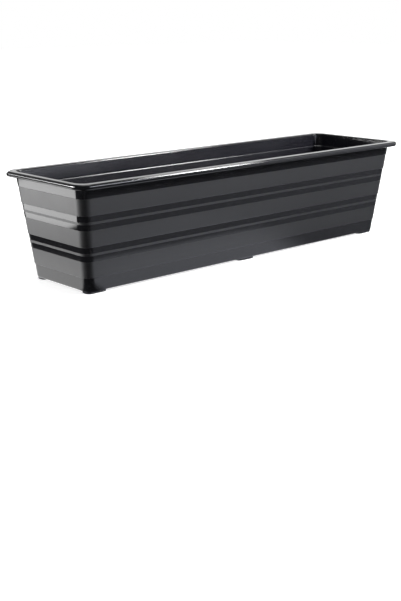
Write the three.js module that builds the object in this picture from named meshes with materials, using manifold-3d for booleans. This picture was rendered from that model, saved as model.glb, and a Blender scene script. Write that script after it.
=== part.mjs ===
// A 60 cm window box: one moulded tub with a hooked rim, stepped satin and gloss bands, six feet
// and four drains, each closed by a push-in plug. Millimetres, +Z up, standing on z = 0.
import * as THREE from 'three';
import { mergeVertices, toCreasedNormals } from 'three/addons/utils/BufferGeometryUtils.js';
import Module from 'manifold-3d';

const wasm = await Module();
wasm.setup();

// ---- driving dimensions ----
const LENGTH = 600;              // over the rim
const WIDTH = 172;               // over the rim
const HEIGHT = 141;              // rim top above the ground, feet included
const FOOT_HEIGHT = 3;
const GAP = 0.3;                 // clearance between pieces that touch

const DRAFT = 0.1;               // inward lean of every wall panel, mm per mm of height
const WALL = 2.6;                // wall thickness below the inner ledge
const COLLAR_WALL = 2.1;         // wall thickness from the ledge up to the rim
const FLOOR = 2.6;

const RIM_OVERHANG_SIDE = 10.5;  // rim edge beyond the wall under it, along the long sides
const RIM_OVERHANG_END = 8.5;    // and at the ends
const RIM_WALL = 2.2;
const LIP_HEIGHT = 6.5;          // rim top down to the lip's lower edge
const LIP_WALL = 2.6;            // the lip hangs down outside an open channel
const LIP_TOP_RADIUS = 2.6;
const LIP_FOOT_RADIUS = 2;
const RIM_INNER_RADIUS = 2;

const RIM_CORNER = 17.5;         // corner radii in plan
const WALL_CORNER_TOP = 14;
const WALL_CORNER_FOOT = 11.5;
const FOOT_EDGE_RADIUS = 2;      // wall into underside
const FLOOR_FILLET = 4;          // inner wall into floor

// Bands of the outside, from the rim down. The stripes are a gloss stripe, a satin line and
// another gloss stripe. Each band steps in a little under the one above it.
const COLLAR_HEIGHT = 18.9;      // rim top down to the first satin band
const SATIN_HEIGHT = 21.3;
const STRIPES_HEIGHT = 18.5;
const STEP_UNDER_COLLAR = 0.4;
const STEP_UNDER_SATIN = 0.6;
const STEP_UNDER_STRIPES = 0.3;

const FOOT_LENGTH = 31;
const FOOT_DEPTH = 17;
const FOOT_CORNER = 6;

const GUSSET_PITCH = 84;         // stiffening ribs in the channel under the rim
const GUSSETS_PER_SIDE = 6;
const GUSSET_THICKNESS = 1.6;
const GUSSET_HEIGHT = 3;

const DRAIN_COUNT = 4;
const DRAIN_PITCH = 130;
const DRAIN_BORE = 12;
const DRAIN_BOSS = 24;           // raised seat round each drain, on the inside
const DRAIN_BOSS_HEIGHT = 3;

const PLUG_FLANGE = 19;
const PLUG_FLANGE_THICKNESS = 1.8;
const PLUG_TAPER = 0.4;          // narrowing of the shank's radius over its length
const PLUG_WALL = 1.6;
const PLUG_TIP_CLEARANCE = 0.8;  // plug tip above the ground
const KNOB_DIAMETER = 10;
const KNOB_HEIGHT = 7;
const KNOB_NECK = 5;

const CORNER_SEGMENTS = 10;      // facets per quarter turn in plan
const ARC_SEGMENTS = 4;          // facets per quarter turn in section
const ROUND_SEGMENTS = 32;
const EMBED = 0.8;               // depth that joined solids share
const CREASE = THREE.MathUtils.degToRad(25);

// ---- places that follow from them ----
const underside = FOOT_HEIGHT;
const floorTop = underside + FLOOR;
const bossTop = floorTop + DRAIN_BOSS_HEIGHT;
const rimUnderside = HEIGHT - RIM_WALL;
const lipFoot = HEIGHT - LIP_HEIGHT;
const sideSetback = RIM_OVERHANG_SIDE - RIM_OVERHANG_END;
const drainPlaces = Array.from(
  { length: DRAIN_COUNT },
  (_, i) => (i - (DRAIN_COUNT - 1) / 2) * DRAIN_PITCH,
);

// A point of the tub's section: its distance inside the rim's outline at the ends, its height,
// the radius that the outline's corners have there, and its distance inside at the long sides.
const at = (inset, z, corner, sideInset = inset + sideSetback) => (
  { inset, z, corner, sideInset });

const wallCorner = (z) =>
  THREE.MathUtils.mapLinear(z, underside, HEIGHT, WALL_CORNER_FOOT, WALL_CORNER_TOP);

// A quarter turn in section that rounds off a sharp edge: edge + (start - edge)(1 - sin t)
// + (end - edge)(1 - cos t), for t from 0 to a right angle.
function arc(start, edge, end) {
  return Array.from({ length: ARC_SEGMENTS + 1 }, (_, i) => {
    const t = (i / ARC_SEGMENTS) * (Math.PI / 2);
    const mix = (key) => edge[key]
      + (start[key] - edge[key]) * (1 - Math.sin(t))
      + (end[key] - edge[key]) * (1 - Math.cos(t));
    return at(mix('inset'), mix('z'), mix('corner'), mix('sideInset'));
  });
}

// Outer wall from the rim down: every band leans in by the draft and ends in a step.
function outerWall() {
  const bands = [
    [COLLAR_HEIGHT - RIM_WALL, STEP_UNDER_COLLAR],
    [SATIN_HEIGHT, STEP_UNDER_SATIN],
    [STRIPES_HEIGHT, STEP_UNDER_STRIPES],
    [SATIN_HEIGHT, STEP_UNDER_SATIN],
    [STRIPES_HEIGHT, STEP_UNDER_STRIPES],
    [SATIN_HEIGHT, STEP_UNDER_SATIN],
  ];
  const points = [at(RIM_OVERHANG_END, rimUnderside, wallCorner(rimUnderside))];
  let z = rimUnderside;
  bands.forEach(([height, step]) => {
    const above = points.at(-1);
    z -= height;
    const inset = above.inset + DRAFT * (above.z - z);
    points.push(at(inset, z, wallCorner(z)), at(inset + step, z - step, wallCorner(z)));
  });
  const low = points.at(-1);
  const edgeTop = underside + FOOT_EDGE_RADIUS;
  const inset = low.inset + DRAFT * (low.z - edgeTop);
  const foot = at(inset, edgeTop, WALL_CORNER_FOOT);
  const under = at(inset + FOOT_EDGE_RADIUS, underside, WALL_CORNER_FOOT - FOOT_EDGE_RADIUS);
  const [top, collarFoot] = points;
  points.push(...arc(foot, at(inset, underside, WALL_CORNER_FOOT), under));
  return { points, top, collarFoot, foot, under };
}

// Rim: channel roof, inner face of the lip, rounded lip, flat top and rounded inner edge.
function rim(wall) {
  const innerInset = wall.top.inset + COLLAR_WALL;
  const innerCorner = WALL_CORNER_TOP - COLLAR_WALL;
  const outline = (inset, z) => at(inset, z, RIM_CORNER - inset, inset);
  return [
    outline(LIP_WALL, rimUnderside),
    outline(LIP_WALL, lipFoot),
    ...arc(
      outline(LIP_FOOT_RADIUS, lipFoot),
      outline(0, lipFoot),
      outline(0, lipFoot + LIP_FOOT_RADIUS),
    ),
    ...arc(
      outline(0, HEIGHT - LIP_TOP_RADIUS),
      outline(0, HEIGHT),
      outline(LIP_TOP_RADIUS, HEIGHT),
    ),
    ...arc(
      at(innerInset - RIM_INNER_RADIUS, HEIGHT, innerCorner + RIM_INNER_RADIUS),
      at(innerInset, HEIGHT, innerCorner),
      at(innerInset, HEIGHT - RIM_INNER_RADIUS, innerCorner),
    ),
  ];
}

// Inside: the collar, a sloped stacking ledge, the plain wall and its fillet into the floor.
function innerWall(wall) {
  const { inset, z } = wall.collarFoot;
  const collarInset = inset + COLLAR_WALL;
  const ledgeInset = inset + STEP_UNDER_COLLAR + WALL;
  const ledgeFoot = z - (ledgeInset - collarInset);
  const footInset = wall.foot.inset + WALL;
  const footCorner = WALL_CORNER_FOOT - WALL;
  return [
    at(collarInset, z, wallCorner(z) - COLLAR_WALL),
    at(ledgeInset, ledgeFoot, wallCorner(ledgeFoot) - WALL),
    ...arc(
      at(footInset, floorTop + FLOOR_FILLET, footCorner),
      at(footInset, floorTop, footCorner),
      at(footInset + FLOOR_FILLET, floorTop, footCorner - FLOOR_FILLET),
    ),
  ];
}

// The outline at one section point: a rounded rectangle, counter-clockwise from above.
function ring({ inset, sideInset, z, corner }) {
  const reachX = LENGTH / 2 - inset - corner;
  const reachY = WIDTH / 2 - sideInset - corner;
  const centres = [[reachX, reachY], [-reachX, reachY], [-reachX, -reachY], [reachX, -reachY]];
  return centres.flatMap(([x, y], quarter) =>
    Array.from({ length: CORNER_SEGMENTS + 1 }, (_, i) => {
      const angle = (quarter + i / CORNER_SEGMENTS) * (Math.PI / 2);
      return new THREE.Vector3(x + corner * Math.cos(angle), y + corner * Math.sin(angle), z);
    }));
}

// Skin over a run of rings, with a flat fan closing the first, face down, and the last.
function loft(rings) {
  const count = rings[0].length;
  const points = rings.flat();
  const index = [];
  for (let start = 0; start < points.length - count; start += count) {
    for (let i = 0; i < count; i += 1) {
      const a = start + i;
      const b = start + ((i + 1) % count);
      index.push(a, b, b + count, a, b + count, a + count);
    }
  }
  const first = 0;
  const last = points.length - count;
  const lowCentre = points.push(new THREE.Vector3(0, 0, points[first].z)) - 1;
  const highCentre = points.push(new THREE.Vector3(0, 0, points[last].z)) - 1;
  for (let i = 0; i < count; i += 1) {
    const next = (i + 1) % count;
    index.push(lowCentre, first + next, first + i);
    index.push(highCentre, last + i, last + next);
  }
  return new THREE.BufferGeometry().setFromPoints(points).setIndex(index);
}

function toSolid(geometry) {
  const bare = geometry.clone();
  bare.deleteAttribute('normal');
  bare.deleteAttribute('uv');
  const merged = mergeVertices(bare);
  return new wasm.Manifold(new wasm.Mesh({
    numProp: 3,
    vertProperties: new Float32Array(merged.attributes.position.array),
    triVerts: new Uint32Array(merged.index.array),
  }));
}

function toGeometry(solid) {
  const mesh = solid.getMesh();
  const geometry = new THREE.BufferGeometry();
  geometry.setAttribute('position', new THREE.BufferAttribute(mesh.vertProperties, 3));
  geometry.setIndex(new THREE.BufferAttribute(mesh.triVerts, 1));
  return toCreasedNormals(geometry, CREASE);
}

function upright(diameter, bottom, top, x) {
  const radius = diameter / 2;
  const cylinder = new THREE.CylinderGeometry(radius, radius, top - bottom, ROUND_SEGMENTS);
  return cylinder.rotateX(Math.PI / 2).translate(x, 0, (top + bottom) / 2);
}

// A foot: a low pad with rounded corners, sunk a little into the floor.
function footPad(x, y) {
  const [w, d, r] = [FOOT_LENGTH / 2, FOOT_DEPTH / 2, FOOT_CORNER];
  const outline = new THREE.Shape();
  [[w - r, d - r], [r - w, d - r], [r - w, r - d], [w - r, r - d]].forEach(([cx, cy], quarter) => {
    outline.absarc(cx, cy, r, quarter * (Math.PI / 2), (quarter + 1) * (Math.PI / 2));
  });
  const pad = new THREE.ExtrudeGeometry(outline, {
    depth: FOOT_HEIGHT + EMBED,
    bevelEnabled: false,
    curveSegments: ARC_SEGMENTS * 2,
  });
  return pad.translate(x, y, 0);
}

// Feet at the corners of the flat underside and in the middle of its long sides.
function feet(wall) {
  const x = LENGTH / 2 - wall.under.inset - FOOT_LENGTH / 2;
  const y = WIDTH / 2 - wall.under.sideInset - FOOT_DEPTH / 2;
  return [-x, 0, x].flatMap((across) => [footPad(across, -y), footPad(across, y)]);
}

// Ribs that tie the lip to the wall, along both long sides and in the middle of each end.
function gussets(wall) {
  const depth = GUSSET_HEIGHT + EMBED;
  const z = rimUnderside + EMBED - depth / 2;
  const span = (wallInset) => wallInset - LIP_WALL + 2 * EMBED;
  const middle = (wallInset) => (wallInset + LIP_WALL) / 2;
  const { inset, sideInset } = wall.top;
  return [-1, 1].flatMap((side) => {
    const along = Array.from({ length: GUSSETS_PER_SIDE }, (_, i) => {
      const x = (i - (GUSSETS_PER_SIDE - 1) / 2) * GUSSET_PITCH;
      const rib = new THREE.BoxGeometry(GUSSET_THICKNESS, span(sideInset), depth);
      return rib.translate(x, side * (WIDTH / 2 - middle(sideInset)), z);
    });
    const atEnd = new THREE.BoxGeometry(span(inset), GUSSET_THICKNESS, depth);
    return [...along, atEnd.translate(side * (LENGTH / 2 - middle(inset)), 0, z)];
  });
}

function tubGeometry() {
  const wall = outerWall();
  const section = [...wall.points.toReversed(), ...rim(wall), ...innerWall(wall)];
  const bosses = drainPlaces.map((x) => upright(DRAIN_BOSS, floorTop - EMBED, bossTop, x));
  const bores = drainPlaces.map((x) => upright(DRAIN_BORE, underside - EMBED, bossTop + EMBED, x));
  const skin = toSolid(loft(section.map(ring)));
  const joined = [...feet(wall), ...gussets(wall), ...bosses]
    .reduce((solid, piece) => solid.add(toSolid(piece)), skin);
  return toGeometry(bores.reduce((solid, bore) => solid.subtract(toSolid(bore)), joined));
}

// The plug stands on its seat at z = 0: a hollow tapered shank below, a flange and a pull knob.
function plugGeometry() {
  const tip = PLUG_TIP_CLEARANCE - bossTop;
  const shank = DRAIN_BORE / 2 - GAP;
  const flange = PLUG_FLANGE / 2;
  const flangeTop = GAP + PLUG_FLANGE_THICKNESS;
  const neck = KNOB_NECK / 2;
  const knob = KNOB_DIAMETER / 2;
  const knobTop = flangeTop + KNOB_HEIGHT;
  const soft = PLUG_FLANGE_THICKNESS / 2;
  const profile = [
    [0, GAP],
    [shank - PLUG_WALL, GAP],
    [shank - PLUG_TAPER - PLUG_WALL, tip],
    [shank - PLUG_TAPER, tip],
    [shank, GAP],
    [flange - soft, GAP],
    [flange, GAP + soft],
    [flange - soft, flangeTop],
    [neck + soft, flangeTop],
    [neck, flangeTop + soft],
    [neck, knobTop - knob],
    [knob - soft, knobTop - knob + soft],
    [knob, knobTop - knob / 2],
    [knob - soft, knobTop - soft],
    [neck, knobTop],
    [0, knobTop],
  ].map(([radius, z]) => new THREE.Vector2(radius, z));
  const lathe = new THREE.LatheGeometry(profile, ROUND_SEGMENTS).rotateX(Math.PI / 2);
  return toGeometry(toSolid(lathe));
}

const tubPlastic = new THREE.MeshStandardMaterial({
  color: '#26262a', roughness: 0.4, metalness: 0,
});
const plugPlastic = new THREE.MeshStandardMaterial({
  color: '#1d1d1f', roughness: 0.5, metalness: 0,
});

function part(name, geometry, material) {
  const mesh = new THREE.Mesh(geometry, material);
  mesh.name = name;
  return mesh;
}

const windowBox = new THREE.Group();
windowBox.add(part('tub', tubGeometry(), tubPlastic));
drainPlaces.forEach((x, i) => {
  const plug = part(`drain_plug_${i + 1}`, plugGeometry(), plugPlastic);
  plug.position.set(x, 0, bossTop);
  windowBox.add(plug);
});

export default windowBox;
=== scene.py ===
import math

import bmesh
import bpy
import numpy as np
from mathutils import Matrix, Vector


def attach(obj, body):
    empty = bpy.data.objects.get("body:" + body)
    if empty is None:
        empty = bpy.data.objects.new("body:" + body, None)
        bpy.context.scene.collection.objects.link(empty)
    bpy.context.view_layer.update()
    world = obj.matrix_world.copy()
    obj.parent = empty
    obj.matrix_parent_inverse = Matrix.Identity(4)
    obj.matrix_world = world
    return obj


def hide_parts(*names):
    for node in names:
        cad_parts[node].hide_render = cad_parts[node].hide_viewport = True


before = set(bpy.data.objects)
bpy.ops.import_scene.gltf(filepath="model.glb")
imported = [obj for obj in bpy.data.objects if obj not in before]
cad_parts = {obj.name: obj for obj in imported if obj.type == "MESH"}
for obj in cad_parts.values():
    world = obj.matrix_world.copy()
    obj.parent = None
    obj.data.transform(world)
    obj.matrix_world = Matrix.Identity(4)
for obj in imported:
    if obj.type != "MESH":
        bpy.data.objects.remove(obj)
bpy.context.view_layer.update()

# A black 60 cm window box. The tub is one moulding: a hooked rim, a gloss collar, three satin
# bands with a pair of gloss stripes between them, a gloss foot band, six low feet, and four drains
# closed by plugs. X runs along its length, Y from the front to the back, and Z up from the ground.
# Sizes are in millimetres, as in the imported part, and meshes in metres.
MM = 0.001

LENGTH = 600
WIDTH = 172
HEIGHT = 141
FOOT_HEIGHT = 3
DRAFT = 0.1                 # inward lean of the walls, mm per mm of height
WALL = 2.6
COLLAR_WALL = 2.1
FLOOR = 2.6

RIM_OVERHANG_SIDE = 10.5    # rim edge beyond the wall under it, along the long sides
RIM_OVERHANG_END = 8.5      # and at the ends
RIM_WALL = 2.2
LIP_HEIGHT = 6.5
LIP_WALL = 2.6
LIP_TOP_RADIUS = 2.6
LIP_FOOT_RADIUS = 2
LIP_INNER_BREAK = 0.4       # broken edge where the lip's inner face ends
RIM_INNER_RADIUS = 2
RIM_CORNER = 17.5
WALL_CORNER_TOP = 14
WALL_CORNER_FOOT = 11.5
FOOT_EDGE_RADIUS = 2
FLOOR_FILLET = 4

FOOT_LENGTH = 31
FOOT_DEPTH = 17
FOOT_CORNER = 6
FOOT_BREAK = 0.5            # rounded edge of a foot where it touches the ground

GUSSET_PITCH = 84
GUSSETS_PER_SIDE = 6
GUSSET_THICKNESS = 1.6
GUSSET_HEIGHT = 3
GUSSET_BREAK = 0.4          # broken edges at a rib's foot
GUSSET_DRAFT = 0.1          # how far a rib's sides lean in on the way down to them
GUSSET_CORNER = 0.2
EMBED = 0.8                 # how far a rib's ends sink into what they join

DRAIN_COUNT = 4
DRAIN_PITCH = 130
DRAIN_BORE = 12
DRAIN_BOSS = 24
DRAIN_BOSS_HEIGHT = 3
DRAIN_BREAK = 0.5

GAP = 0.3                   # clearance of a seated plug, round its shank and under its flange
PLUG_FLANGE = 19
PLUG_FLANGE_THICKNESS = 1.8
PLUG_TAPER = 0.4
PLUG_WALL = 1.6
PLUG_TIP_CLEARANCE = 0.8    # from the tip to the ground
PLUG_BREAK = 0.3            # broken edges of the tip
PLUG_AXIS_FACE = 0.4        # radius of the flat faces that close a plug at its axis
KNOB_DIAMETER = 10
KNOB_HEIGHT = 7
KNOB_NECK = 5

UNDERSIDE = FOOT_HEIGHT
FLOOR_TOP = UNDERSIDE + FLOOR
BOSS_TOP = FLOOR_TOP + DRAIN_BOSS_HEIGHT
RIM_UNDERSIDE = HEIGHT - RIM_WALL
LIP_FOOT = HEIGHT - LIP_HEIGHT
DRAINS = DRAIN_PITCH * (np.arange(DRAIN_COUNT) - (DRAIN_COUNT - 1) / 2)

# The finishes of the tub's mould, in the order of its material slots.
GLOSS, SATIN, PLAIN = 0, 1, 2

# Bands of the outside from the rim down: height, finish, and the step in at its lower edge.
BANDS = [
    (16.7, GLOSS, 0.4),
    (21.3, SATIN, 0.6),
    (8.1, GLOSS, 0), (3.2, SATIN, 0), (7.2, GLOSS, 0.3),
    (21.3, SATIN, 0.6),
    (8.1, GLOSS, 0), (3.2, SATIN, 0), (7.2, GLOSS, 0.3),
    (21.3, SATIN, 0.6),
]

# How finely the pieces are meshed.
ROUND_STEPS = 8             # strips in a quarter turn of the section
BREAK_STEPS = 4             # and in a broken edge
TIP_STEPS = 3               # and in the edge of a plug's tip
CORNER_STEPS = 20           # strips in a quarter turn in plan
SMALL_CORNER_STEPS = 6      # and in that of a foot or a rib
STRAIGHT = np.array([0.004, 0.25, 0.5, 0.75, 0.996])    # where a straight side has points
TURN_STEPS = 64             # strips round a drain or a plug
FLANK = 0.3                 # a row this close to a rounding keeps the flat beside it flat
CREASE, PLUG_CREASE = 28, 40            # degrees past which an edge stays crisp
LEVEL = 1e-7                # metres within which a ring counts as level


# ---- the tub's section ----
# A row of the section is its distance inside the rim's outline at the ends, its height, the radius
# of its corners in plan, and its distance inside along the sides.
def wall_corner(z):
    """Plan radius of the outer wall's corners, growing evenly from the underside to the rim."""
    share = (z - UNDERSIDE) / (HEIGHT - UNDERSIDE)
    return WALL_CORNER_FOOT + share * (WALL_CORNER_TOP - WALL_CORNER_FOOT)


def wall_row(inset, z, corner):
    """A row of the walls, which stand further in along the sides than at the ends."""
    return [inset, z, corner, inset + RIM_OVERHANG_SIDE - RIM_OVERHANG_END]


def lip_row(inset, z):
    """A row of the lip, which follows the rim's outline evenly."""
    return [inset, z, RIM_CORNER - inset, inset]


def quarter_turn(start, edge, end, steps=ROUND_STEPS):
    """Rounds off a sharp edge of a section or profile: edge + (start - edge)(1 - sin t)
    + (end - edge)(1 - cos t), for t from 0 to a right angle."""
    start, edge, end = (np.array(p, float) for p in (start, edge, end))
    t = np.linspace(0, math.pi / 2, steps + 1)[:, None]
    return edge + (start - edge) * (1 - np.sin(t)) + (end - edge) * (1 - np.cos(t))


def outer_wall():
    """Rows of the outside from the rim down to the flat underside, and the finish of the strip
    below each row. Each band leans in by the draft."""
    rows = [wall_row(RIM_OVERHANG_END, RIM_UNDERSIDE, wall_corner(RIM_UNDERSIDE))]
    finishes = []
    z = RIM_UNDERSIDE
    for height, finish, step in BANDS:
        z -= height
        inset = rows[-1][0] + DRAFT * (rows[-1][1] - z)
        rows.append(wall_row(inset, z, wall_corner(z)))
        finishes.append(finish)
        if step:
            rows.append(wall_row(inset + step, z - step, wall_corner(z)))
            finishes.append(finish)
    edge_top = UNDERSIDE + FOOT_EDGE_RADIUS
    inset = rows[-1][0] + DRAFT * (rows[-1][1] - edge_top)
    rows.append(wall_row(inset - DRAFT * FLANK, edge_top + FLANK, WALL_CORNER_FOOT))
    under = inset + FOOT_EDGE_RADIUS
    corner = WALL_CORNER_FOOT - FOOT_EDGE_RADIUS
    turn = quarter_turn(
        wall_row(inset, edge_top, WALL_CORNER_FOOT),
        wall_row(inset, UNDERSIDE, WALL_CORNER_FOOT),
        wall_row(under, UNDERSIDE, corner))
    rows = np.vstack([rows, turn, [wall_row(under + FLANK, UNDERSIDE, corner - FLANK)]])
    finishes += [GLOSS] * (len(turn) + 1) + [PLAIN]
    return rows, finishes, inset


def rim():
    """Rows of the hooked rim: the channel's roof, the lip's inner face, its rounded foot and top,
    the flat top and the rounded inner edge."""
    inner = RIM_OVERHANG_END + COLLAR_WALL
    corner = WALL_CORNER_TOP - COLLAR_WALL
    start = inner - RIM_INNER_RADIUS
    brk = LIP_INNER_BREAK
    return np.vstack([
        [lip_row(LIP_WALL, RIM_UNDERSIDE), lip_row(LIP_WALL, LIP_FOOT + brk),
         lip_row(LIP_WALL - brk, LIP_FOOT)],
        quarter_turn(lip_row(LIP_FOOT_RADIUS, LIP_FOOT), lip_row(0, LIP_FOOT),
                     lip_row(0, LIP_FOOT + LIP_FOOT_RADIUS)),
        quarter_turn(lip_row(0, HEIGHT - LIP_TOP_RADIUS), lip_row(0, HEIGHT),
                     lip_row(LIP_TOP_RADIUS, HEIGHT)),
        [lip_row(LIP_TOP_RADIUS + FLANK, HEIGHT),
         wall_row(start - FLANK, HEIGHT, corner + RIM_INNER_RADIUS + FLANK)],
        quarter_turn(wall_row(start, HEIGHT, corner + RIM_INNER_RADIUS),
                     wall_row(inner, HEIGHT, corner),
                     wall_row(inner, HEIGHT - RIM_INNER_RADIUS, corner)),
        [wall_row(inner, HEIGHT - RIM_INNER_RADIUS - FLANK, corner)],
    ])


def inner_wall(wall, foot_inset):
    """Rows of the inside: the collar, the sloped stacking ledge, the plain wall, and its fillet
    into the floor."""
    collar_inset, z = wall[1, :2]
    top = collar_inset + COLLAR_WALL
    ledge = collar_inset + BANDS[0][2] + WALL
    ledge_foot = z - (ledge - top)
    inset = foot_inset + WALL
    corner = WALL_CORNER_FOOT - WALL
    fillet_top = FLOOR_TOP + FLOOR_FILLET
    lean = (inset - ledge) / (ledge_foot - fillet_top)
    end = inset + FLOOR_FILLET
    return np.vstack([
        [wall_row(top, z, wall_corner(z) - COLLAR_WALL),
         wall_row(ledge, ledge_foot, wall_corner(ledge_foot) - WALL),
         wall_row(inset - lean * FLANK, fillet_top + FLANK, corner)],
        quarter_turn(wall_row(inset, fillet_top, corner), wall_row(inset, FLOOR_TOP, corner),
                     wall_row(end, FLOOR_TOP, corner - FLOOR_FILLET)),
        [wall_row(end + FLANK, FLOOR_TOP, corner - FLOOR_FILLET - FLANK)],
    ])


# ---- surfaces ----
def plan_template(steps=CORNER_STEPS):
    """A rounded rectangle as two arrays: how far along each half size the corner's centre is, from
    -1 to 1, and the unit direction from there. Straight sides have rows next to their ends."""
    signs, directions = [], []
    quarter = [(1, 1), (-1, 1), (-1, -1), (1, -1)]
    for i, sign in enumerate(quarter):
        turn = (i + np.linspace(0, 1, steps + 1)) * (math.pi / 2)
        arc = np.stack([np.cos(turn), np.sin(turn)], 1)
        here, there = np.array(sign, float), np.array(quarter[(i + 1) % 4], float)
        signs += [np.tile(here, (steps + 1, 1)), here + (there - here) * STRAIGHT[:, None]]
        directions += [arc, np.tile(arc[-1], (len(STRAIGHT), 1))]
    return np.vstack(signs), np.vstack(directions)


PLAN = plan_template()
SMALL_PLAN = plan_template(SMALL_CORNER_STEPS)


def outlines(half_x, half_y, corner, z, centre=(0, 0), plan=PLAN):
    """Grid of points: one rounded rectangle per row. A point is the centre, plus its share of
    the straight half sizes, plus the corner radius along its direction."""
    sign, direction = plan
    half_x, half_y, corner, z = np.broadcast_arrays(*np.atleast_1d(half_x, half_y, corner, z))
    straight = np.stack([half_x - corner, half_y - corner], 1)[:, None, :]
    flat = np.array(centre, float) + sign * straight + corner[:, None, None] * direction
    height = np.broadcast_to(z[:, None, None], flat.shape[:2] + (1,))
    return np.concatenate([flat, height], 2)


def turned(profile, x):
    """Grid of points: one circle per row (radius, height) of a turned profile, about the upright
    axis at x on the box's middle line."""
    angle = np.linspace(0, 2 * math.pi, TURN_STEPS, endpoint=False)
    radius, z = np.array(profile, float).T[:, :, None]
    return np.stack(np.broadcast_arrays(
        x + radius * np.cos(angle), radius * np.sin(angle), z), 2)


class Shell:
    """Points and faces of one piece, gathered from grids whose rows are closed rings."""

    def __init__(self):
        self.points, self.faces, self.finishes, self.count = [], [], [], 0

    def add(self, grid, finish, cap_first=False, cap_last=False):
        """Skin over the rings of a grid, each quad joining a point, its neighbour and the two
        above them, with one finish for each strip. A cap is one flat face on the end ring."""
        rows, columns = grid.shape[:2]
        number = self.count + np.arange(rows * columns).reshape(rows, columns)
        beside = np.roll(number, -1, axis=1)
        quads = np.stack([number[:-1], beside[:-1], beside[1:], number[1:]], 2)
        strips = np.broadcast_to(np.array(finish), (rows - 1,))
        self.points.append(grid.reshape(-1, 3))
        self.faces += quads.reshape(-1, 4).tolist()
        self.finishes += np.repeat(strips, columns).tolist()
        if cap_first:
            self.faces.append(number[0, ::-1].tolist())
            self.finishes.append(int(strips[0]))
        if cap_last:
            self.faces.append(number[-1].tolist())
            self.finishes.append(int(strips[-1]))
        self.count += rows * columns

    def piece(self, name, materials, flats=(), crease=CREASE):
        """The mesh object in metres. Each flat is a height whose open rings are closed by one
        level plain surface with holes."""
        mesh = bpy.data.meshes.new(name)
        mesh.from_pydata(np.vstack(self.points) * MM, [], self.faces)
        mesh.polygons.foreach_set("material_index", self.finishes)
        shell = bmesh.new()
        shell.from_mesh(mesh)
        for height in flats:
            rings = [e for e in shell.edges if e.is_boundary
                     and all(abs(v.co.z - height * MM) < LEVEL for v in e.verts)]
            filled = bmesh.ops.triangle_fill(shell, use_beauty=True, edges=rings)
            for face in filled["geom"]:
                if isinstance(face, bmesh.types.BMFace):
                    face.material_index = PLAIN
        bmesh.ops.recalc_face_normals(shell, faces=shell.faces)
        shell.to_mesh(mesh)
        shell.free()
        for material in materials:
            mesh.materials.append(material)
        mesh.shade_smooth()
        mesh.set_sharp_from_angle(angle=math.radians(crease))
        made = bpy.data.objects.new(name, mesh)
        bpy.context.scene.collection.objects.link(made)
        return made


# ---- the pieces ----
def tub(materials):
    """One skin along the section, six feet below, bosses and bores through the floor, and ribs in
    the channel under the rim."""
    wall, wall_finish, foot_inset = outer_wall()
    over, inside = rim(), inner_wall(wall, foot_inset)
    section = np.vstack([wall[::-1], over, inside])
    hidden = 3          # strips of the channel's roof and the lip's inner face
    finish = (wall_finish[::-1] + [PLAIN] * hidden + [GLOSS] * (len(over) - hidden)
              + [PLAIN] * len(inside))
    inset, z, corner, side_inset = section.T
    shell = Shell()
    shell.add(outlines(LENGTH / 2 - inset, WIDTH / 2 - side_inset, corner, z), finish)

    bore, boss, brk = DRAIN_BORE / 2, DRAIN_BOSS / 2, DRAIN_BREAK
    profile = np.vstack([
        [[bore + brk, UNDERSIDE], [bore, UNDERSIDE + brk], [bore, BOSS_TOP - brk]],
        [[bore + brk, BOSS_TOP], [boss - brk - FLANK, BOSS_TOP]],
        quarter_turn([boss - brk, BOSS_TOP], [boss, BOSS_TOP], [boss, BOSS_TOP - brk], BREAK_STEPS),
        [[boss, FLOOR_TOP + brk], [boss + brk, FLOOR_TOP]],
    ])
    for x in DRAINS:
        shell.add(turned(profile, x), PLAIN)

    # The feet stand just inside the outline of the flat underside.
    foot_x = LENGTH / 2 - wall[-2, 0] - FOOT_LENGTH / 2
    foot_y = WIDTH / 2 - wall[-2, 3] - FOOT_DEPTH / 2
    edge = quarter_turn([0, FOOT_BREAK], [0, 0], [FOOT_BREAK, 0], BREAK_STEPS)
    shrink, levels = np.vstack([[0, UNDERSIDE], edge]).T
    for x in (-foot_x, 0, foot_x):
        for y in (-foot_y, foot_y):
            shell.add(outlines(
                FOOT_LENGTH / 2 - shrink - FLANK, FOOT_DEPTH / 2 - shrink - FLANK,
                FOOT_CORNER - shrink, levels, (x, y), SMALL_PLAN), PLAIN, cap_last=True)

    # The ribs bridge the channel from the wall to the lip, their tops sunk into the rim.
    overhangs = np.array([RIM_OVERHANG_SIDE, RIM_OVERHANG_END])
    side_span, end_span = (overhangs - LIP_WALL) / 2 + EMBED
    side_middle, end_middle = (overhangs + LIP_WALL) / 2
    drop = GUSSET_HEIGHT + EMBED
    levels = RIM_UNDERSIDE + EMBED - np.array([0, drop - GUSSET_BREAK, drop])
    thin = GUSSET_THICKNESS / 2 - np.array([0, GUSSET_DRAFT, GUSSET_BREAK])
    for side in (-1, 1):
        for x in GUSSET_PITCH * (np.arange(GUSSETS_PER_SIDE) - (GUSSETS_PER_SIDE - 1) / 2):
            place = (x, side * (WIDTH / 2 - side_middle))
            shell.add(outlines(thin, side_span, GUSSET_CORNER, levels, place, SMALL_PLAN),
                      PLAIN, cap_first=True, cap_last=True)
        place = (side * (LENGTH / 2 - end_middle), 0)
        shell.add(outlines(end_span, thin, GUSSET_CORNER, levels, place, SMALL_PLAN),
                  PLAIN, cap_first=True, cap_last=True)
    return shell.piece("tub_moulding", materials, [UNDERSIDE, FLOOR_TOP])


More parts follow.
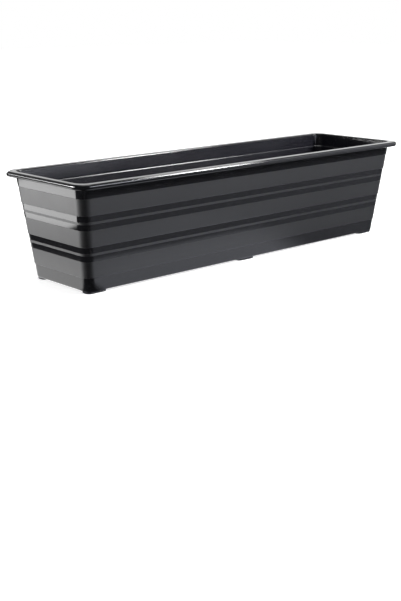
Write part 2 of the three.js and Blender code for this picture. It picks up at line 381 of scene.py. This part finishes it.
def drain_plug(name, x, material):
    """A turned shape on its seat: a hollow tapered shank, a flange with a rounded edge and a
    mushroom knob. Its profile is a run of radii and heights with quarter turns between them."""
    tip = PLUG_TIP_CLEARANCE - BOSS_TOP
    shank = DRAIN_BORE / 2 - GAP
    flange, neck, knob = PLUG_FLANGE / 2, KNOB_NECK / 2, KNOB_DIAMETER / 2
    top = GAP + PLUG_FLANGE_THICKNESS
    soft = PLUG_FLANGE_THICKNESS / 2
    end = top + KNOB_HEIGHT
    narrow = shank - PLUG_TAPER
    axis, brk = PLUG_AXIS_FACE, PLUG_BREAK
    profile = np.vstack([
        [[axis, GAP], [shank - PLUG_WALL, GAP], [narrow - PLUG_WALL, tip + brk],
         [narrow - PLUG_WALL + brk, tip]],
        quarter_turn([narrow - brk, tip], [narrow, tip], [narrow, tip + brk], TIP_STEPS),
        [[shank, GAP], [flange - soft - FLANK, GAP]],
        quarter_turn([flange - soft, GAP], [flange, GAP], [flange, GAP + soft]),
        quarter_turn([flange, GAP + soft], [flange, top], [flange - soft, top]),
        [[flange - soft - FLANK, top]],
        quarter_turn([neck + soft, top], [neck, top], [neck, top + soft]),
        [[neck, end - knob - FLANK]],
        quarter_turn([neck, end - knob], [knob, end - knob], [knob, end - knob / 2]),
        quarter_turn([knob, end - knob / 2], [knob, end], [neck, end])[1:],
        [[neck - FLANK, end], [axis, end]],
    ])
    shell = Shell()
    shell.add(turned(profile + [0, BOSS_TOP], x), 0, cap_first=True, cap_last=True)
    return shell.piece(name, [material], crease=PLUG_CREASE)


# ---- materials ----
PLASTIC_IOR = 1.49
NOISE_LOW, NOISE_HIGH = 0.3, 0.7        # what a noise pattern mostly stays between


def linear(code):
    """Linear colour of an sRGB hex code, with a full alpha."""
    c = np.array([int(code[i:i + 2], 16) for i in (1, 3, 5)]) / 255
    c = np.where(c <= 0.04045, c / 12.92, ((c + 0.055) / 1.055) ** 2.4)
    return (*map(float, c), 1.0)


def add(tree, kind, links=None, values=None, **settings):
    """Adds one node: settings are its properties, values its constant sockets, and links the
    sockets fed by another node, as socket: (node, output)."""
    node = tree.nodes.new(kind)
    for key, value in settings.items():
        setattr(node, key, value)
    for key, value in (values or {}).items():
        node.inputs[key].default_value = value
    for key, (source, output) in (links or {}).items():
        tree.links.new(source.outputs[output], node.inputs[key])
    return node


def plastic(name, colour, roughness, spread, cloud, grain, depth, wave, sag):
    """A moulded black plastic. Roughness varies by spread in soft clouds of that many mm. The
    bump is a grain of that many mm and that depth, on a slow wave of that many mm and that sag."""
    material = bpy.data.materials.new(name)
    material.use_nodes = True
    tree = material.node_tree
    shader = tree.nodes["Principled BSDF"]
    shader.inputs["Base Color"].default_value = linear(colour)
    shader.inputs["IOR"].default_value = PLASTIC_IOR
    place = add(tree, "ShaderNodeTexCoord")

    def noise(size, detail):
        return add(tree, "ShaderNodeTexNoise", {"Vector": (place, "Object")},
                   {"Scale": 1 / (size * MM), "Detail": detail})

    finish = add(tree, "ShaderNodeMapRange", {"Value": (noise(cloud, detail=3), "Fac")},
                 {"From Min": NOISE_LOW, "From Max": NOISE_HIGH,
                  "To Min": roughness - spread, "To Max": roughness + spread})
    tree.links.new(finish.outputs["Result"], shader.inputs["Roughness"])
    slow = add(tree, "ShaderNodeBump", {"Height": (noise(wave, detail=1), "Fac")},
               {"Strength": 1, "Distance": sag * MM})
    fine = add(tree, "ShaderNodeBump",
               {"Height": (noise(grain, detail=2), "Fac"), "Normal": (slow, "Normal")},
               {"Strength": 1, "Distance": depth * MM})
    tree.links.new(fine.outputs["Normal"], shader.inputs["Normal"])
    return material


# Polypropylene against polished steel: a wet black gloss whose reflections run a little wavy,
# because the walls sink slightly between the stiff corners. The grain is a faint flow texture.
polished = plastic("polished_polypropylene", "#0d0d0f", roughness=0.09, spread=0.02, cloud=45,
                   grain=2.2, depth=0.0006, wave=70, sag=0.10)

# Polypropylene against spark-eroded steel: an even satin that spreads the light. The real
# pits are about 0.1 mm, too fine to show, so they are drawn at 0.9 mm.
satin = plastic("spark_eroded_polypropylene", "#0f0f11", roughness=0.49, spread=0.03, cloud=30,
                grain=0.9, depth=0.012, wave=70, sag=0.06)

# Polypropylene against the plain steel of the mould's core and base: half matt, with soft
# clouds where the melt met the steel at different heat.
core = plastic("core_side_polypropylene", "#17171d", roughness=0.25, spread=0.03, cloud=60,
               grain=1.6, depth=0.0015, wave=120, sag=0.06)

# Low-density polyethylene: softer and waxier than the tub, with a dull even skin.
waxy = plastic("moulded_polyethylene", "#191919", roughness=0.48, spread=0.04, cloud=8,
               grain=0.8, depth=0.008, wave=15, sag=0.02)


# ---- pieces in place ----
body = tub([polished, satin, core])
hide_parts("tub")
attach(body, "tub")
for i, x in enumerate(DRAINS, 1):
    plug = drain_plug(f"plug_moulding_{i}", x, waxy)
    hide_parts(f"drain_plug_{i}")
    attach(plug, f"plug_{i}")


# ---- studio ----
# Places and sizes are in metres, and a level of 1 is the white of the page.
WHITE, COOL = "#ffffff", "#f2f5ff"
FLOOR_SIZE = 14
FLOOR_LIFT = 0.72           # level that the camera sees added to the floor by the box
LIFT_NEAR, LIFT_FULL = 0.5, 2.0         # distances over which that rises to 1
DARK_REFLECTION_LEVEL = 0.04                 # level of a painted dark reflection, seen in place of the white floor
FILL = 0.3                  # the room's even light on everything matt
BACKDROP, ABOVE = 1.3, 0.25             # painted reflection levels of the backdrop, and above it
BACKDROP_FADE = (0.10, 0.26)            # heights on the unit sphere where one turns to the other
BEYOND = (0.67, 0.74, 0)    # the way from the camera to the box
CAMERA_SIDE = 0.1           # share of those levels left behind the camera, a painted dark reflection
SIDE_FADE = (-0.15, 0.35)   # where it rises to 1, along that way


def sheet(name, centre, size, material):
    """A level rectangle of four points about a centre."""
    mesh = bpy.data.meshes.new(name)
    corners = np.array([[-1, -1, 0], [1, -1, 0], [1, 1, 0], [-1, 1, 0]]) / 2
    mesh.from_pydata(corners * [*size, 1], [], [[0, 1, 2, 3]])
    mesh.materials.append(material)
    made = bpy.data.objects.new(name, mesh)
    made.location = centre
    bpy.context.scene.collection.objects.link(made)
    return made


def bare_material(name):
    """A material with an empty node tree."""
    material = bpy.data.materials.new(name)
    material.use_nodes = True
    material.node_tree.nodes.clear()
    return material, material.node_tree


def white_paper():
    """The floor: it shades as matt white, and the camera sees it lifted to the page's white,
    fully from two metres out, so that only the box's shadow shows on it. From below it is clear,
    so that the underside can be looked at."""
    material, tree = bare_material("white_paper")
    ray = add(tree, "ShaderNodeLightPath")
    place = add(tree, "ShaderNodeTexCoord")
    away = add(tree, "ShaderNodeVectorMath", {0: (place, "Object")}, operation="LENGTH")
    lift = add(tree, "ShaderNodeMapRange", {"Value": (away, "Value")},
               {"From Min": LIFT_NEAR, "From Max": LIFT_FULL, "To Min": FLOOR_LIFT, "To Max": 1.0})
    seen = add(tree, "ShaderNodeMath", {0: (ray, "Is Camera Ray"), 1: (lift, 0)},
               operation="MULTIPLY")
    matt = add(tree, "ShaderNodeBsdfDiffuse", values={"Color": linear("#dcdcdc")})
    glow = add(tree, "ShaderNodeEmission", {"Strength": (seen, 0)}, {"Color": linear(WHITE)})
    both = add(tree, "ShaderNodeAddShader", {0: (matt, 0), 1: (glow, 0)})
    side = add(tree, "ShaderNodeNewGeometry")
    clear = add(tree, "ShaderNodeBsdfTransparent")
    paper = add(tree, "ShaderNodeMixShader",
                {0: (side, "Backfacing"), 1: (both, 0), 2: (clear, 0)})
    add(tree, "ShaderNodeOutputMaterial", {"Surface": (paper, 0)})
    return material


def painted_reflection_sheet(name, centre, size, level, soft=0.02, tint=WHITE):
    """A painted reflection: a level sheet that glows, bright or with a low level dark, which only
    glossy reflections see and which lights nothing. It fades out over its last stretch, soft metres
    wide (or two widths, along X and Y): clear at the edge and full inside."""
    material, tree = bare_material(name)
    place = add(tree, "ShaderNodeTexCoord")
    axes = add(tree, "ShaderNodeSeparateXYZ", {"Vector": (place, "Object")})
    fade = []
    for axis, extent, stretch in zip("XY", size, np.broadcast_to(soft, 2)):
        away = add(tree, "ShaderNodeMath", {0: (axes, axis)}, operation="ABSOLUTE")
        fade.append(add(tree, "ShaderNodeMapRange", {"Value": (away, 0)},
                        {"From Min": extent / 2, "From Max": extent / 2 - stretch},
                        interpolation_type="SMOOTHSTEP"))
    full = add(tree, "ShaderNodeMath", {0: (fade[0], 0), 1: (fade[1], 0)}, operation="MULTIPLY")
    clear = add(tree, "ShaderNodeBsdfTransparent")
    glow = add(tree, "ShaderNodeEmission", values={"Strength": level, "Color": linear(tint)})
    both = add(tree, "ShaderNodeMixShader", {0: (full, 0), 1: (clear, 0), 2: (glow, 0)})
    add(tree, "ShaderNodeOutputMaterial", {"Surface": (both, 0)})
    made = sheet(name, centre, size, material)
    for ray in ("camera", "diffuse", "transmission", "volume_scatter", "shadow"):
        setattr(made, f"visible_{ray}", False)


def softbox(name, place, aim, size, level, tint=WHITE):
    """A rectangular area lamp at place, facing aim, whose face has that level."""
    lamp = bpy.data.lights.new(name, "AREA")
    lamp.shape = "RECTANGLE"
    lamp.size, lamp.size_y = size
    lamp.energy = level * math.pi * size[0] * size[1]
    lamp.color = linear(tint)[:3]
    made = bpy.data.objects.new(name, lamp)
    turn = (Vector(aim) - Vector(place)).to_track_quat("-Z", "Y")
    made.matrix_world = Matrix.Translation(place) @ turn.to_matrix().to_4x4()
    made.visible_camera = False
    bpy.context.scene.collection.objects.link(made)


def studio_world():
    """White to the camera and a soft grey fill. In reflections it is a painted reflection that
    lights
    nothing: a white backdrop behind the box that fades out above the horizon, and dark on the
    camera's side."""
    made = bpy.data.worlds.new("studio")
    made.use_nodes = True
    tree = made.node_tree
    tree.nodes.clear()
    ray = add(tree, "ShaderNodeLightPath")
    place = add(tree, "ShaderNodeTexCoord")
    axes = add(tree, "ShaderNodeSeparateXYZ", {"Vector": (place, "Generated")})
    backdrop = add(tree, "ShaderNodeMapRange", {"Value": (axes, "Z")},
                   {"From Min": BACKDROP_FADE[0], "From Max": BACKDROP_FADE[1],
                    "To Min": BACKDROP, "To Max": ABOVE},
                   interpolation_type="SMOOTHSTEP")
    beyond = add(tree, "ShaderNodeVectorMath", {0: (place, "Generated")},
                 {1: BEYOND}, operation="DOT_PRODUCT")
    side = add(tree, "ShaderNodeMapRange", {"Value": (beyond, "Value")},
               {"From Min": SIDE_FADE[0], "From Max": SIDE_FADE[1],
                "To Min": CAMERA_SIDE, "To Max": 1.0},
               interpolation_type="SMOOTHSTEP")
    mirrored = add(tree, "ShaderNodeMath", {0: (backdrop, 0), 1: (side, 0)}, operation="MULTIPLY")
    seen = add(tree, "ShaderNodeMix", {"Factor": (ray, "Is Glossy Ray"), "B": (mirrored, 0)},
               {"A": FILL})
    level = add(tree, "ShaderNodeMix", {"Factor": (ray, "Is Camera Ray"), "A": (seen, 0)},
                {"B": 1.0})
    back = add(tree, "ShaderNodeBackground", {"Strength": (level, 0)}, {"Color": linear(WHITE)})
    add(tree, "ShaderNodeOutputWorld", {"Surface": (back, 0)})
    bpy.context.scene.world = made


sheet("floor", (0, 0, 0), (FLOOR_SIZE, FLOOR_SIZE), white_paper())
studio_world()

# Three low strips give the satin of the front, the left end and the back its grey, and two large
# softboxes fill in. The key draws the long streak on the front lip, and the ledge light the line
# on the stacking ledge.
softbox("front_strip", (0.66, -1.92, 0.19), (-0.1, 0, 0.1), (1.0, 0.34), 16.2, COOL)
softbox("right_softbox", (1.75, -1.05, 0.95), (0, 0, 0.1), (1.6, 1.5), 1.3, COOL)
softbox("left_strip", (-1.65, 0.95, 0.11), (-0.3, 0, 0.07), (1.0, 0.18), 98.0)
softbox("back_strip", (0.35, 1.95, 0.13), (0, 0, 0.08), (0.9, 0.22), 26.0, COOL)
softbox("top_softbox", (0, 0.1, 1.6), (0, 0, 0.1), (1.2, 0.8), 3.0)
softbox("key", (0.92, -1.02, 0.84), (-0.05, -0.08, 0.14), (0.22, 0.36), 105)
softbox("ledge_light", (0.81, -0.12, 1.19), (-0.19, 0.07, 0.12), (0.3, 0.3), 30)

# What the polished bands mirror is painted reflection: level sheets that glow only for glossy
# reflections and light nothing. They paint white that ends a hand's width away, dimmer beyond it,
# dark all round and at the near corner, and bright behind the left end and far to the right.
# A sheet lies half a millimetre or more above those that it covers.
painted_reflection_sheet("painted_dark_reflection_front", (0, -3.27, 0.0005), (13, 6.44), DARK_REFLECTION_LEVEL)
painted_reflection_sheet("painted_dark_reflection_left", (-3.38, 3.1, 0.0005), (6.24, 6.8), DARK_REFLECTION_LEVEL)
painted_reflection_sheet("painted_dark_reflection_back", (3.12, 3.31, 0.0005), (6.76, 6.38), DARK_REFLECTION_LEVEL)
painted_reflection_sheet("painted_reflection_end", (-0.3, 0.1, 0.001), (0.09, 0.3), 2.2)
painted_reflection_sheet("painted_reflection_beyond", (0.32, -0.19, 0.001), (1.1, 0.36), 0.4, 0.06, COOL)
painted_reflection_sheet("painted_reflection_front", (-0.09, -0.1, 0.0015), (0.48, 0.11), 1.4, (0.1, 0.02), COOL)
painted_reflection_sheet("painted_dark_reflection_corner", (-0.335, -0.1, 0.002), (0.19, 0.12), DARK_REFLECTION_LEVEL)
painted_reflection_sheet("painted_reflection_left", (-0.5, 0.3325, 0.001), (0.2, 0.335), 5.2)
painted_reflection_sheet("painted_reflection_far_left", (-1.65, 1.5, 0.001), (1.3, 1.1), 29.0, 0.06)
painted_reflection_sheet("painted_reflection_right", (1.4, -1.26, 0.001), (2.0, 1.6), 0.9, 0.04, COOL)


# ---- camera ----
# It stands 1.2 m off the near left corner and looks 16 degrees down, turned 42 degrees to the
# right of straight at the front, with a slight roll.
CAMERA_PLACE = (-0.98563, -1.05605, 0.33714)
CAMERA_TURN, CAMERA_DOWN, CAMERA_ROLL = -41.944, 15.797, -0.325
SENSOR, FOCAL_LENGTH = 36, 61.68        # mm

lens = bpy.data.cameras.new("camera")
lens.sensor_width = SENSOR
lens.lens = FOCAL_LENGTH
camera = bpy.data.objects.new("camera", lens)
camera.matrix_world = (
    Matrix.Translation(CAMERA_PLACE)
    @ Matrix.Rotation(math.radians(CAMERA_TURN), 4, "Z")
    @ Matrix.Rotation(math.radians(90 - CAMERA_DOWN), 4, "X")
    @ Matrix.Rotation(math.radians(CAMERA_ROLL), 4, "Z")
)
bpy.context.scene.collection.objects.link(camera)
bpy.context.scene.camera = camera
bpy.context.scene.view_settings.view_transform = "Standard"
